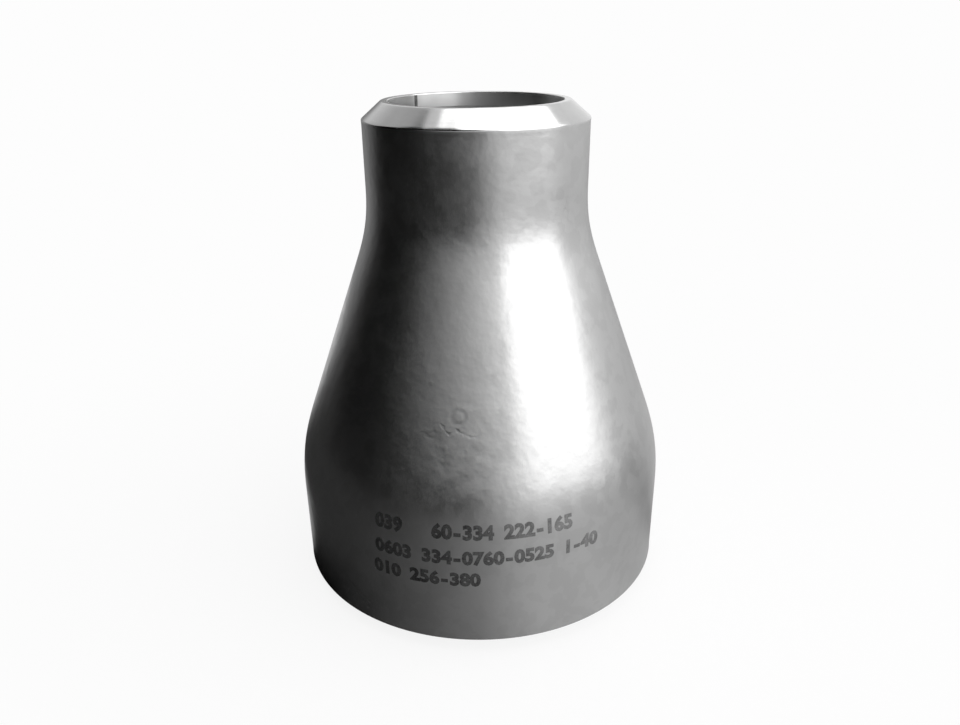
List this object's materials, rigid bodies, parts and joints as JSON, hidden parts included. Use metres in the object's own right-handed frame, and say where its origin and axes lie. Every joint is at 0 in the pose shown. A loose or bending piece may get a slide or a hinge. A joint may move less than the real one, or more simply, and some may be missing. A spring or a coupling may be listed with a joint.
{
  "type": "butt weld concentric reducer",
  "caption": "Concentric pipe reducer in one piece: a short large end, a smooth cone and a short small end, open right through, with both ends bevelled for butt welding.",
  "frame": {"origin": "centre of the large end, in the plane of its root face, which the part rests on", "axes": "+Z along the pipe axis, from the large end to the small end; +Y away from the camera of the picture and +X to its right"},
  "size_m": [0.0603, 0.0602, 0.076],
  "materials": {
    "steel": "satin",
    "marking_ink": "matte"
  },
  "bodies": {
    "root": {"reducer": "steel"}
  },
  "joints": []
}
